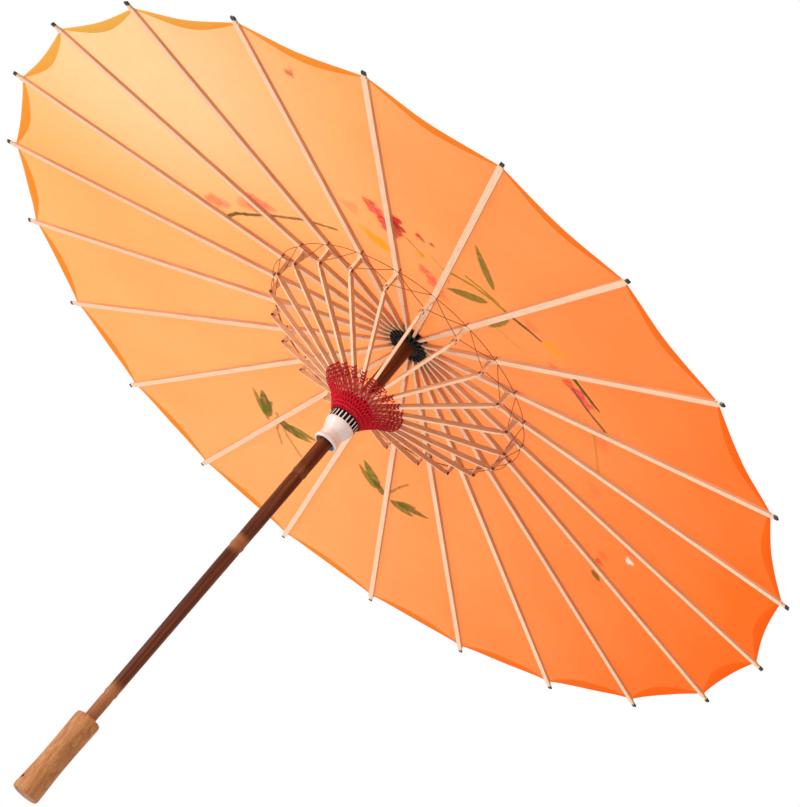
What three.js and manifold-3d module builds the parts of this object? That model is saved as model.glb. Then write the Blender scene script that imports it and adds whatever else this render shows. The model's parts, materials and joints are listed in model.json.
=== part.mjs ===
// Oil paper umbrella, open: a bamboo shaft with a turned handle, a slotted hub with 22 ribs,
// a slotted runner with 22 stretchers, a spring leaf that holds it up, and a scalloped canopy.
// Millimetres, +Z up along the shaft, origin at the middle of the handle on the shaft's axis.
import * as THREE from "three";
import { mergeVertices } from "three/addons/utils/BufferGeometryUtils.js";
import Module from "manifold-3d";

const wasm = await Module();
wasm.setup();

// ---- driving dimensions -------------------------------------------------------------------
const RIBS = 22;
const PITCH = (2 * Math.PI) / RIBS;
const FIRST_RIB = THREE.MathUtils.degToRad(-94.4); // azimuth of rib_01
const GAP = 0.3; // clearance between neighbouring pieces

// linkage: the hub pivot, the joint and the runner pivot make an isosceles triangle
const PIVOT_R = 15; // radius of the hub's and the runner's pivots
const HUB_Z = 486; // height of the hub's pivots
const JOINT_R = 130; // radius of the joint of rib and stretcher
const JOINT_Z = 446;
const RUNNER_Z = 2 * JOINT_Z - HUB_Z; // height of the runner's pivots
const TONGUE = 2.2; // thickness of a strung end
const SLOT = 2.8; // width of a slot for a strung end
const WIRE = 0.45; // radius of the tie rings
const WIRE_HOLE = 0.8;

// ribs
const RIM_R = 410; // canopy's radius at the ribs
const RIM_Z = 420; // height of the rib's centre line at the rim
const TIP_R = 418;
const RIB_W = 5.4;
const NIB_W = 3.6; // width of the nib outside the canopy
const RIB_SLOPE = (482 - RIM_Z) / (RIM_R - PIVOT_R);
const ribLine = (r) => RIM_Z + (RIM_R - r) * RIB_SLOPE;
const RIB_OUTER = 1.1; // half depth of the rib at the rim
const LUG_W = 3.1;
const LUG_SLOT = 1.8;
const LUG_END = 1.9; // radius of the lug's rounded end

// stretchers
const STRETCHER_W = 2.6;
const STRETCHER_H = 4.4;
const JOINT_TONGUE = 1.2;

// shaft and handle
const SHAFT_TOP_R = 6.8;
const SHAFT_LOW_R = 5.0;
const SHAFT_TOP = 514;
const SHAFT_BOTTOM = -18;
const KNOTS = [66, 230, 318]; // heights of the bamboo's knots
const BORE_R = 2.4;
const BORE_TOP = 190;
const HANDLE_TOP = 39;
const HANDLE_BOTTOM = -39;
const HANDLE_TOP_R = 11.5;
const HANDLE_WAIST_R = 10.9;
const HANDLE_LOW_R = 12.2;
const CORD_HOLE_R = 1.7;
const CORD_HOLE_Z = -29;
const CORD_HOLE_TURN = THREE.MathUtils.degToRad(-65);

// spring leaf that rubs in the runner's bore and holds it up
const LEAF_PIN_Z = 336;
const LEAF_PIN_R = 2.2; // how far the leaf's pin lies off the shaft's axis
const LEAF_CROWN_Z = 384;
const LEAF_TOP_Z = 392;
const LEAF_W = 3;
const LEAF_PROUD = 0.5; // how far the leaf stands out of the shaft at its crown
const LEAF_TURN = Math.PI / 2; // azimuth of the leaf

// canopy
const PAPER = 0.6;
const CANOPY_IN = 25.5;
const SCALLOP = 3.2; // how far the hem bows in between two ribs

// ---- materials ----------------------------------------------------------------------------
const make = (color, roughness, metalness = 0) =>
  new THREE.MeshStandardMaterial({ color, roughness, metalness });
const bamboo = () => make("#e6c3a0", 0.6);
const darkBamboo = () => make("#6d3a22", 0.45);
const handleWood = () => make("#d3a070", 0.55);
const blackWood = () => make("#2a211c", 0.5);
const whiteWood = () => make("#ece6dc", 0.55);
const brass = () => make("#a9803f", 0.4, 0.9);
const silk = () => make("#ff9440", 0.7);

// ---- helpers ------------------------------------------------------------------------------
// a closed geometry as a solid that can be cut and joined
function solid(geometry) {
  const bare = geometry.clone();
  bare.deleteAttribute("normal");
  bare.deleteAttribute("uv");
  const merged = mergeVertices(bare, 1e-4);
  return new wasm.Manifold(
    new wasm.Mesh({
      numProp: 3,
      vertProperties: merged.attributes.position.array,
      triVerts: new Uint32Array(merged.index.array),
    }),
  );
}

// a solid as a geometry that can be drawn
function geometryOf(cut) {
  const mesh = cut.getMesh();
  const geometry = new THREE.BufferGeometry();
  const points = new THREE.BufferAttribute(mesh.vertProperties, mesh.numProp);
  geometry.setAttribute("position", points);
  geometry.setIndex(new THREE.BufferAttribute(mesh.triVerts, 1));
  const flat = geometry.toNonIndexed();
  flat.computeVertexNormals();
  return flat;
}

// a body of revolution round Z from [radius, height] pairs
function turned(profile, segments = 32) {
  const points = profile.map(([r, z]) => new THREE.Vector2(r, z));
  const lathe = new THREE.LatheGeometry(points, segments);
  lathe.rotateX(Math.PI / 2);
  return lathe;
}

// a plate whose outline is given as [radius, height] pairs, its width centred on the radial plane
function plate(outline, width) {
  const shape = new THREE.Shape(outline.map(([r, z]) => new THREE.Vector2(r, z)));
  const body = new THREE.ExtrudeGeometry(shape, { depth: width, bevelEnabled: false });
  body.translate(0, 0, -width / 2);
  body.rotateX(Math.PI / 2);
  return solid(body);
}

// a rod along the tangent through the point [radius, height] of the radial plane
function crossRod(r, z, radius, length, segments = 6) {
  const rod = new THREE.CylinderGeometry(radius, radius, length, segments);
  rod.translate(r, 0, z);
  return solid(rod);
}

// points on an arc of the radial plane
function arc(r, z, radius, from, to, steps) {
  const points = [];
  for (let i = 0; i <= steps; i++) {
    const angle = THREE.MathUtils.degToRad(from + ((to - from) * i) / steps);
    points.push([r + radius * Math.cos(angle), z + radius * Math.sin(angle)]);
  }
  return points;
}

// a wire bent to a regular polygon whose sides lie across the ribs
function tieRing(z, radius, sides) {
  const corner = PIVOT_R / Math.cos(PITCH / 2);
  const reach = radius / Math.cos(PITCH / 2);
  const section = [];
  for (let i = 0; i <= sides; i++) {
    const angle = (2 * Math.PI * i) / sides;
    section.push([corner + reach * Math.cos(angle), z + radius * Math.sin(angle)]);
  }
  const ring = turned(section, RIBS);
  ring.rotateZ(FIRST_RIB + PITCH / 2 + Math.PI / 2);
  return solid(ring);
}

// copies of a body turned to each rib's azimuth, joined to one
function atEachRib(body) {
  const copies = [];
  for (let i = 0; i < RIBS; i++) {
    const degrees = THREE.MathUtils.radToDeg(FIRST_RIB + i * PITCH);
    copies.push(body.rotate([0, 0, degrees]));
  }
  return wasm.Manifold.union(copies);
}

const umbrella = new THREE.Group();
umbrella.name = "oil_paper_umbrella";

function add(name, body, material, parent = umbrella) {
  const geometry = body.isBufferGeometry ? body : geometryOf(body);
  const mesh = new THREE.Mesh(geometry, material);
  mesh.name = name;
  parent.add(mesh);
  return mesh;
}

// ---- shaft and handle ---------------------------------------------------------------------
const shaftR = (z) =>
  THREE.MathUtils.mapLinear(z, SHAFT_BOTTOM, RUNNER_Z, SHAFT_LOW_R, SHAFT_TOP_R);
const straightR = (z) => Math.min(shaftR(z), SHAFT_TOP_R);

const shaftProfile = [
  [0, BORE_TOP],
  [BORE_R, BORE_TOP - 2],
  [BORE_R, SHAFT_BOTTOM],
  [SHAFT_LOW_R - 0.4, SHAFT_BOTTOM],
  [SHAFT_LOW_R, SHAFT_BOTTOM + 1],
];
for (const knot of KNOTS) {
  shaftProfile.push([straightR(knot - 5), knot - 5]);
  shaftProfile.push([straightR(knot) + 0.45, knot]);
  shaftProfile.push([straightR(knot + 4), knot + 4]);
}
shaftProfile.push(
  [SHAFT_TOP_R, RUNNER_Z],
  [SHAFT_TOP_R, SHAFT_TOP - 12],
  [4.6, SHAFT_TOP - 11],
  [4.6, SHAFT_TOP - 1],
  [4.0, SHAFT_TOP],
  [0, SHAFT_TOP],
);

const pegHole = (z, radius) => {
  const rod = new THREE.CylinderGeometry(radius, radius, 60, 8);
  rod.translate(0, 0, z);
  return solid(rod);
};
const PEG_R = 1.3;
const HANDLE_PEG_Z = 18;
const HUB_PEG_Z = 497;
const STOP_Z = RUNNER_Z + 7.5;

const leafDegrees = THREE.MathUtils.radToDeg(LEAF_TURN);
const leafSlotBox = new THREE.BoxGeometry(9, LEAF_W + 2 * GAP, LEAF_TOP_Z - LEAF_PIN_Z + 8);
leafSlotBox.translate(3.6, 0, (LEAF_PIN_Z + LEAF_TOP_Z) / 2);
const leafSlot = solid(leafSlotBox).rotate([0, 0, leafDegrees]);
const leafPinHole = crossRod(LEAF_PIN_R, LEAF_PIN_Z, 1.1, 40, 8).rotate([0, 0, leafDegrees]);

const shaft = solid(turned(shaftProfile, 16))
  .subtract(leafSlot)
  .subtract(leafPinHole)
  .subtract(pegHole(HANDLE_PEG_Z, PEG_R + GAP))
  .subtract(pegHole(HUB_PEG_Z, PEG_R + GAP))
  .subtract(pegHole(STOP_Z, PEG_R + GAP));
add("shaft", shaft, darkBamboo());

const socketR = shaftR(HANDLE_TOP) + GAP;
const handleProfile = [
  [0, HANDLE_BOTTOM],
  [HANDLE_LOW_R - 2.4, HANDLE_BOTTOM],
  [HANDLE_LOW_R - 0.7, HANDLE_BOTTOM + 0.7],
  [HANDLE_LOW_R, HANDLE_BOTTOM + 2.4],
  [HANDLE_WAIST_R, 8],
  [HANDLE_TOP_R, HANDLE_TOP - 2.2],
  [HANDLE_TOP_R - 0.6, HANDLE_TOP - 0.7],
  [HANDLE_TOP_R - 2, HANDLE_TOP],
  [socketR, HANDLE_TOP],
  [socketR, SHAFT_BOTTOM - 2],
  [0, SHAFT_BOTTOM - 2],
];
const cordHole = solid(
  new THREE.CylinderGeometry(CORD_HOLE_R, CORD_HOLE_R, 60, 10)
    .rotateZ(CORD_HOLE_TURN)
    .translate(0, 0, CORD_HOLE_Z),
);
const handle = solid(turned(handleProfile, 28))
  .subtract(cordHole)
  .subtract(pegHole(HANDLE_PEG_Z, PEG_R + GAP));
add("handle", handle, handleWood());

function peg(name, z, length, radius, material) {
  const rod = new THREE.CylinderGeometry(radius, radius, length, 10);
  const mesh = add(name, rod, material);
  mesh.position.z = z;
  return mesh;
}
peg("handle_peg", HANDLE_PEG_Z, 2 * (HANDLE_WAIST_R - 0.4), PEG_R, handleWood());
peg("stop_peg", STOP_Z, 19, PEG_R, bamboo());

// ---- hub ----------------------------------------------------------------------------------
const HUB_R = 20.4;
const HUB_CORE = 11.4;
const HUB_BOTTOM = HUB_Z - 7;
const HUB_TOP = HUB_Z + 16;
const hubBoreR = SHAFT_TOP_R + GAP;
const hubProfile = [
  [hubBoreR, HUB_BOTTOM],
  [HUB_CORE - 2.4, HUB_BOTTOM],
  [HUB_CORE - 1.2, HUB_BOTTOM + 0.8],
  [HUB_CORE, HUB_Z - 4.4],
  [HUB_R - 0.8, HUB_Z - 3.8],
  [HUB_R, HUB_Z - 3],
  [HUB_R, HUB_Z + 4.5],
  [HUB_R - 2, HUB_Z + 6.5],
  [12, HUB_Z + 8],
  [11, HUB_TOP],
  [hubBoreR, HUB_TOP],
  [hubBoreR, HUB_BOTTOM],
];
const hubSlotOutline = [
  [HUB_CORE + 0.2, HUB_Z - 8],
  [HUB_R + 4, HUB_Z - 8],
  [HUB_R + 4, HUB_Z + 3.4],
  [HUB_CORE + 0.2, HUB_Z + 3.4],
];
const hub = solid(turned(hubProfile, RIBS))
  .subtract(atEachRib(plate(hubSlotOutline, SLOT)))
  .subtract(tieRing(HUB_Z, WIRE_HOLE, 6))
  .subtract(pegHole(HUB_PEG_Z, PEG_R + GAP));
add("hub", hub, blackWood());
add("hub_tie_ring", tieRing(HUB_Z, WIRE, 5), brass());
peg("hub_peg", HUB_PEG_Z, 21, PEG_R, blackWood());

// ---- ribs ---------------------------------------------------------------------------------
const RIB_START = PIVOT_R + 11; // where the strung end passes into the slim neck
const NECK_W = 2.7; // slim, so that the closed ribs clear each other round the shaft
const NECK_END = PIVOT_R + 36;
const SHOULDER_W = 4; // width between the neck and the full width
const SHOULDER_END = PIVOT_R + 64; // where the rib takes its full width
const LUG_HALF = 2.4;
const LUG_TOP = ribLine(JOINT_R) - 3; // where the lug leaves the rib's underside
const ribOutline = [
  ...arc(PIVOT_R, HUB_Z, 3, 250, 70, 4),
  [RIB_START - 2, ribLine(RIB_START - 2) + RIB_OUTER + 1.2],
  [RIM_R, ribLine(RIM_R) + RIB_OUTER],
  [TIP_R - 0.8, ribLine(TIP_R) + RIB_OUTER - 0.2],
  [TIP_R, ribLine(TIP_R) + RIB_OUTER - 0.6],
  [TIP_R, ribLine(TIP_R) - RIB_OUTER + 0.6],
  [TIP_R - 0.8, ribLine(TIP_R) - RIB_OUTER + 0.2],
  [RIM_R, ribLine(RIM_R) - RIB_OUTER],
  [JOINT_R + 12, ribLine(JOINT_R + 12) - RIB_OUTER - 0.6],
  [JOINT_R + LUG_HALF + 1, LUG_TOP],
  [JOINT_R + LUG_HALF, LUG_TOP - 3],
  ...arc(JOINT_R, JOINT_Z, LUG_END, 0, -180, 4),
  [JOINT_R - LUG_HALF, LUG_TOP - 3],
  [JOINT_R - LUG_HALF - 1, LUG_TOP],
  [JOINT_R - 12, ribLine(JOINT_R - 12) - RIB_OUTER - 0.8],
  [SHOULDER_END, ribLine(SHOULDER_END) - RIB_OUTER - 0.8],
  [RIB_START, ribLine(RIB_START) - RIB_OUTER - 0.4],
];

// the rib's width: a thin tongue at the hub, a slim neck, a shoulder, the full width with a
// narrow lug, and a nib past the canopy
const wide = plate(ribOutline, RIB_W);
const thin = plate(ribOutline, TONGUE);
const neck = plate(ribOutline, NECK_W);
const shoulder = plate(ribOutline, SHOULDER_W);
const narrow = plate(ribOutline, LUG_W);
const nib = plate(ribOutline, NIB_W);
const region = (r0, r1, z0, z1) =>
  plate(
    [
      [r0, z0],
      [r1, z0],
      [r1, z1],
      [r0, z1],
    ],
    20,
  );
const lugZone = region(JOINT_R - 12, JOINT_R + 12, 400, LUG_TOP - 0.5);
const rib = thin
  .intersect(region(0, RIB_START + 1, 400, 520))
  .add(neck.intersect(region(RIB_START, NECK_END + 1, 400, 520)))
  .add(shoulder.intersect(region(NECK_END, SHOULDER_END + 1, 400, 520)))
  .add(wide.intersect(region(SHOULDER_END, RIM_R + 1, 400, 520)).subtract(lugZone))
  .add(narrow.intersect(region(JOINT_R - 12, JOINT_R + 12, 400, LUG_TOP + 1)))
  .add(nib.intersect(region(RIM_R, 600, 400, 520)))
  .subtract(
    plate(
      [
        [JOINT_R - 8, JOINT_Z - 8],
        [JOINT_R + 8, JOINT_Z - 8],
        [JOINT_R + 8, JOINT_Z + 2.6],
        [JOINT_R - 8, JOINT_Z + 2.6],
      ],
      LUG_SLOT,
    ),
  )
  .subtract(crossRod(JOINT_R, JOINT_Z, 0.7, 12))
  .subtract(crossRod(PIVOT_R, HUB_Z, WIRE_HOLE, 12));
const ribGeometry = geometryOf(rib);

// ---- stretchers ---------------------------------------------------------------------------
const dx = JOINT_R - PIVOT_R;
const dz = JOINT_Z - RUNNER_Z;
const STRETCH = Math.hypot(dx, dz);
const STRETCH_TILT = THREE.MathUtils.radToDeg(Math.atan2(dz, dx));
const half = STRETCHER_H / 2;
// drawn lying along the radius, its runner end at the origin
const bar = [
  ...arc(0, 0, 2.1, 270, 90, 3),
  [8, half],
  [STRETCH - 9, half],
  [STRETCH - 4.2, 1.6],
  ...arc(STRETCH, 0, 1.6, 90, -90, 3),
  [STRETCH - 4.2, -1.6],
  [STRETCH - 9, -half],
  [8, -half],
];
const stretcherFlat = plate(bar, TONGUE)
  .intersect(region(-10, 9, -20, 20))
  .add(plate(bar, STRETCHER_W).intersect(region(8, STRETCH - 4.6, -20, 20)))
  .add(plate(bar, JOINT_TONGUE).intersect(region(STRETCH - 5, STRETCH + 10, -20, 20)))
  .subtract(crossRod(0, 0, WIRE_HOLE, 12))
  .subtract(crossRod(STRETCH, 0, 0.7, 12));
const stretcherGeometry = geometryOf(
  stretcherFlat.rotate([0, -STRETCH_TILT, 0]).translate([PIVOT_R, 0, RUNNER_Z]),
);

for (let i = 0; i < RIBS; i++) {
  const bay = new THREE.Group();
  bay.rotation.z = FIRST_RIB + i * PITCH;
  umbrella.add(bay);
  const number = String(i + 1).padStart(2, "0");
  add(`rib_${number}`, ribGeometry.clone(), bamboo(), bay);
  add(`stretcher_${number}`, stretcherGeometry.clone(), bamboo(), bay);
}

// ---- runner -------------------------------------------------------------------------------
const RUNNER_BORE = 7.8;
const CROWN_R = 17.2;
const RUNNER_CORE = 11.4;
const CUP_R = 14; // the cup under the crown
const CROWN_SLOT = 28.5; // how far the slots run down below the pivots
const RUNNER_BOTTOM = 355;
const RING_R = 11.6; // flared ring at the runner's foot
const RING_BORE = 9.6;
const runnerProfile = [
  [RING_BORE, RUNNER_BOTTOM],
  [RING_R - 0.6, RUNNER_BOTTOM],
  [RING_R, RUNNER_BOTTOM + 0.7],
  [RING_R, RUNNER_BOTTOM + 2.6],
  [RING_R - 1, RUNNER_BOTTOM + 4],
  [10, RUNNER_BOTTOM + 7],
  [10.2, RUNNER_BOTTOM + 11],
  [12.4, RUNNER_BOTTOM + 16],
  [CUP_R, RUNNER_Z - CROWN_SLOT - 1.5],
  [CUP_R + 0.2, RUNNER_Z - 18],
  [CROWN_R, RUNNER_Z - 5],
  [CROWN_R, RUNNER_Z + 2.6],
  [CROWN_R - 0.8, RUNNER_Z + 3.4],
  [RUNNER_CORE, RUNNER_Z + 3.4],
  [RUNNER_CORE - 0.6, RUNNER_Z + 4.6],
  [RUNNER_BORE, RUNNER_Z + 4.6],
  [RUNNER_BORE, RUNNER_BOTTOM + 9],
  [RING_BORE, RUNNER_BOTTOM + 4],
  [RING_BORE, RUNNER_BOTTOM],
];
const runnerSlotOutline = [
  [RUNNER_CORE + 0.4, RUNNER_Z - CROWN_SLOT],
  [CROWN_R + 4, RUNNER_Z - CROWN_SLOT],
  [CROWN_R + 4, RUNNER_Z + 9],
  [RUNNER_CORE + 0.3, RUNNER_Z + 9],
];
const runner = solid(turned(runnerProfile, RIBS))
  .subtract(atEachRib(plate(runnerSlotOutline, SLOT)))
  .subtract(tieRing(RUNNER_Z, WIRE_HOLE, 6));
add("runner", runner, whiteWood());
add("runner_tie_ring", tieRing(RUNNER_Z, WIRE, 5), brass());

// ---- spring leaf --------------------------------------------------------------------------
const leafOut = SHAFT_TOP_R + LEAF_PROUD;
const leafOutline = [
  ...arc(LEAF_PIN_R, LEAF_PIN_Z, 2.2, 150, 330, 4),
  [LEAF_PIN_R + 2.4, LEAF_PIN_Z + 4],
  [leafOut - 0.6, LEAF_CROWN_Z - 12],
  [leafOut, LEAF_CROWN_Z - 3],
  [leafOut, LEAF_CROWN_Z],
  [leafOut - 1.6, LEAF_TOP_Z],
  [leafOut - 2.8, LEAF_TOP_Z],
  [leafOut - 1.3, LEAF_CROWN_Z],
  [leafOut - 1.9, LEAF_CROWN_Z - 12],
  [LEAF_PIN_R + 0.8, LEAF_PIN_Z + 5],
];
const leaf = plate(leafOutline, LEAF_W).subtract(crossRod(LEAF_PIN_R, LEAF_PIN_Z, 1.1, 20));
const leafBay = new THREE.Group();
leafBay.rotation.z = LEAF_TURN;
umbrella.add(leafBay);
add("spring_leaf", leaf, brass(), leafBay);
const leafPin = new THREE.CylinderGeometry(0.8, 0.8, 9, 10);
add("spring_leaf_pin", leafPin, brass(), leafBay).position.set(LEAF_PIN_R, 0, LEAF_PIN_Z);

// ---- canopy -------------------------------------------------------------------------------
const canopyZ = (r) => ribLine(r) + RIB_OUTER + GAP + (1.4 * (RIM_R - r)) / RIM_R;
const STEPS = 3; // steps between two ribs
function canopyRadius(share) {
  const chord = (RIM_R * Math.cos(PITCH / 2)) / Math.cos((share - 0.5) * PITCH);
  return chord - SCALLOP * Math.sin(Math.PI * share);
}
function canopyGeometry() {
  const points = [];
  const faces = [];
  const around = RIBS * STEPS;
  for (let i = 0; i < around; i++) {
    const angle = FIRST_RIB + (i * PITCH) / STEPS;
    const outer = canopyRadius((i % STEPS) / STEPS);
    const corners = [
      [CANOPY_IN, canopyZ(CANOPY_IN)],
      [outer, canopyZ(outer)],
      [outer, canopyZ(outer) + PAPER],
      [CANOPY_IN, canopyZ(CANOPY_IN) + PAPER],
    ];
    for (const [r, z] of corners) points.push(r * Math.cos(angle), r * Math.sin(angle), z);
    for (let k = 0; k < 4; k++) {
      const a = i * 4 + k;
      const b = i * 4 + ((k + 1) % 4);
      const c = ((i + 1) % around) * 4 + ((k + 1) % 4);
      const d = ((i + 1) % around) * 4 + k;
      faces.push(a, c, b, a, d, c);
    }
  }
  const geometry = new THREE.BufferGeometry();
  geometry.setAttribute("position", new THREE.Float32BufferAttribute(points, 3));
  geometry.setIndex(faces);
  const flat = geometry.toNonIndexed();
  flat.computeVertexNormals();
  return flat;
}
add("canopy", canopyGeometry(), silk());

// ---- cap and knob -------------------------------------------------------------------------
const CAP_R = 29;
const capBottom = canopyZ(CAP_R - 2) + PAPER + GAP;
const capProfile = [
  [CAP_R - 2, capBottom],
  [CAP_R, capBottom],
  [CAP_R, capBottom + 1.6],
  [21.5, HUB_Z + 9],
  [15, HUB_Z + 14],
  [12.6, HUB_TOP + 3],
  [9.5, SHAFT_TOP - 5.6],
  [7.2, SHAFT_TOP - 5],
  [4.9, SHAFT_TOP - 5],
  [4.9, HUB_TOP + 1.2],
  [11.4, HUB_TOP + 0.6],
  [13, HUB_Z + 9.6],
  [19.4, HUB_Z + 7],
  [CAP_R - 2, capBottom],
];
add("cap", turned(capProfile, 28), blackWood());
const knobProfile = [
  [0, SHAFT_TOP + 0.4],
  [4.9, SHAFT_TOP + 0.4],
  [4.9, SHAFT_TOP - 4.6],
  [6.6, SHAFT_TOP - 4.6],
  [7.4, SHAFT_TOP - 2],
  [6.8, SHAFT_TOP + 2.6],
  [4, SHAFT_TOP + 5],
  [0, SHAFT_TOP + 5.6],
];
add("knob", turned(knobProfile, 20), handleWood());

export default umbrella;
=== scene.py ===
"""An open oil paper umbrella in Blender: its looks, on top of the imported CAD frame.

The frame gives the shaft, the hub, the runner, the ribs and the stretchers and how they move.
This script adds the cloth, the painting on it, the threads, the turned wood and the light.
All sizes are in metres. +Z runs up the shaft, and the origin is at the middle of the handle.
"""

import json
import math
from itertools import product

import bpy
import numpy as np
from mathutils import Matrix, Vector, noise


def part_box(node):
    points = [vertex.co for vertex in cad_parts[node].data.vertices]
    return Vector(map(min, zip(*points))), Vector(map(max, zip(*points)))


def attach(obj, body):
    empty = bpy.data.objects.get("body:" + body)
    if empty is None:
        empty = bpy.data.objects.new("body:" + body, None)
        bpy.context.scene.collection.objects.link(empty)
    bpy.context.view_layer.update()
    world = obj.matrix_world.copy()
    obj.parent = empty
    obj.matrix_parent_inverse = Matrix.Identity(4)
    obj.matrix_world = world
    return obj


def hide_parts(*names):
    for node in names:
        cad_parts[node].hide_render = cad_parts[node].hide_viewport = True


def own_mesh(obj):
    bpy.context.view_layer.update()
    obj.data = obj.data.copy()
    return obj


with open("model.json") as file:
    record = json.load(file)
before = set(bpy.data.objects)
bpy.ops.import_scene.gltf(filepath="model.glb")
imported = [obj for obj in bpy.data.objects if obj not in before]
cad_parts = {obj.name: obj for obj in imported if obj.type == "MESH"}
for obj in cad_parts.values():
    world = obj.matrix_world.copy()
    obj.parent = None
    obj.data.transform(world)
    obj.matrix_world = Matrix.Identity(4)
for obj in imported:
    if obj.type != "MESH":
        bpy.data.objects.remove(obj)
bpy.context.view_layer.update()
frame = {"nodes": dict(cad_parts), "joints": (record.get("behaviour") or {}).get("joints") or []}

MM = 0.001

# ---- what the frame says ----
JOINTS = {joint["name"]: joint for joint in frame["joints"]}
RIBS = sum(1 for node in frame["nodes"] if node.startswith("rib_"))
PITCH = math.tau / RIBS
HALF_BAY = PITCH / 2


def place_of(joint):
    """A joint's radius and height, and its azimuth about the shaft."""
    x, y, z = JOINTS[joint]["pos_m"]
    return math.hypot(x, y), z, math.atan2(y, x)


PIVOT_R, HUB_Z, FIRST_TURN = place_of("fold")
JOINT_R, JOINT_Z, _ = place_of("stretcher_01_hinge")
_, RUNNER_Z, _ = place_of("runner_hinge")
TURNS = {f"{i + 1:02d}": FIRST_TURN + i * PITCH for i in range(RIBS)}  # each rib's azimuth

cloth_low, cloth_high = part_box("canopy")
RIM_R = 410 * MM  # the cloth's radius at the ribs
CLOTH_IN = 21.6 * MM  # the cloth's inner edge, under the cap
CAD_IN = 25.5 * MM  # the inner edge of the CAD canopy
CAD_THICK = 0.6 * MM  # its thickness
RIM_Z = cloth_low.z
CLOTH_SLOPE = (cloth_high.z - CAD_THICK - RIM_Z) / (RIM_R - CAD_IN)
TIP_R = -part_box("rib_01")[0].y  # the first rib points along -Y, a few degrees off
HEM_BOW = 3.2 * MM  # how far the hem bows in between two ribs
HEM_DEPTH = 8.5 * MM  # depth of the turned-in hem in the middle of a bay


def around(radius, height, turn, off=0.0):
    """A point at a radius and height, turned about the shaft and moved off along the tangent."""
    x = radius * math.cos(turn) - off * math.sin(turn)
    y = radius * math.sin(turn) + off * math.cos(turn)
    return Vector((x, y, height))


def radial(turn):
    """The direction away from the shaft."""
    return Vector((math.cos(turn), math.sin(turn), 0))


def tangent(turn):
    """The direction round the shaft."""
    return Vector((-math.sin(turn), math.cos(turn), 0))


# ---- node materials ----
class Shader:
    """A new material, with short ways to add nodes to it."""

    def __init__(self, name):
        self.material = bpy.data.materials.new(name)
        self.material.use_nodes = True
        self.tree = self.material.node_tree
        self.tree.nodes.clear()
        self.output = self.tree.nodes.new("ShaderNodeOutputMaterial")

    def add(self, kind, inputs=None, **settings):
        """A node; each input is a plain value, or (node, output) to link from."""
        node = self.tree.nodes.new("ShaderNode" + kind)
        for key, value in settings.items():
            setattr(node, key, value)
        for key, value in (inputs or {}).items():
            self.set(node, key, value)
        return node

    def set(self, node, key, value):
        socket = node.inputs[key]
        if isinstance(value, bpy.types.Node):
            self.tree.links.new(value.outputs[0], socket)
        elif isinstance(value, tuple) and isinstance(value[0], bpy.types.Node):
            self.tree.links.new(value[0].outputs[value[1]], socket)
        elif socket.type == "RGBA" and len(value) == 3:
            socket.default_value = (*value, 1)
        else:
            socket.default_value = value

    def place(self, what="Object"):
        """Coordinates on the piece."""
        return (self.add("TexCoord"), what)

    def math(self, operation, a, b=0.0, c=0.5):
        return self.add("Math", {0: a, 1: b, 2: c}, operation=operation)

    def mix(self, share, a, b):
        """Colour a going over to colour b."""
        return (self.add("Mix", {0: share, 6: a, 7: b}, data_type="RGBA"), 2)

    def span(self, value, low, high, out_low=0.0, out_high=1.0, kind="LINEAR"):
        """A value carried from one range to another and kept inside it."""
        inputs = {"Value": value, 1: low, 2: high, 3: out_low, 4: out_high}
        return self.add("MapRange", inputs, interpolation_type=kind)

    def noise(self, vector, scale, detail=4.0, roughness=0.55, distortion=0.0):
        inputs = {
            "Vector": vector,
            "Scale": scale,
            "Detail": detail,
            "Roughness": roughness,
            "Distortion": distortion,
        }
        return self.add("TexNoise", inputs)

    def streaks(self, vector, scale, detail=4.0, roughness=0.55, distortion=0.0):
        """Noise drawn out along an axis, as fibres and grain are."""
        drawn_out = self.add("Mapping", {"Vector": vector, "Scale": scale})
        return self.noise(drawn_out, 1.0, detail, roughness, distortion)

    def wave(self, vector, scale, distortion, direction):
        """Even bands across a direction."""
        inputs = {"Vector": vector, "Scale": scale, "Distortion": distortion}
        return self.add("TexWave", inputs, bands_direction=direction)

    def bump(self, height, distance, strength=1.0, normal=None):
        inputs = {"Height": height, "Distance": distance, "Strength": strength}
        node = self.add("Bump", inputs)
        if normal is not None:
            self.set(node, "Normal", normal)
        return node

    def principled(self, **inputs):
        """The main shader; the underscores in the names of inputs stand for spaces."""
        named = {key.replace("_", " "): value for key, value in inputs.items()}
        return self.add("BsdfPrincipled", named)

    def done(self, surface):
        """The finished material."""
        self.set(self.output, "Surface", surface)
        return self.material


def along_rib(shader, what="Object"):
    """Coordinates in which X runs along the rib: each rib's object holds its turn."""
    place = shader.place(what)
    turn = shader.add("Attribute", attribute_type="OBJECT", attribute_name="turn")
    back = shader.math("MULTIPLY", (turn, "Fac"), -1.0)
    inputs = {"Vector": place, "Angle": back}
    return shader.add("VectorRotate", inputs, rotation_type="Z_AXIS")


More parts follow.
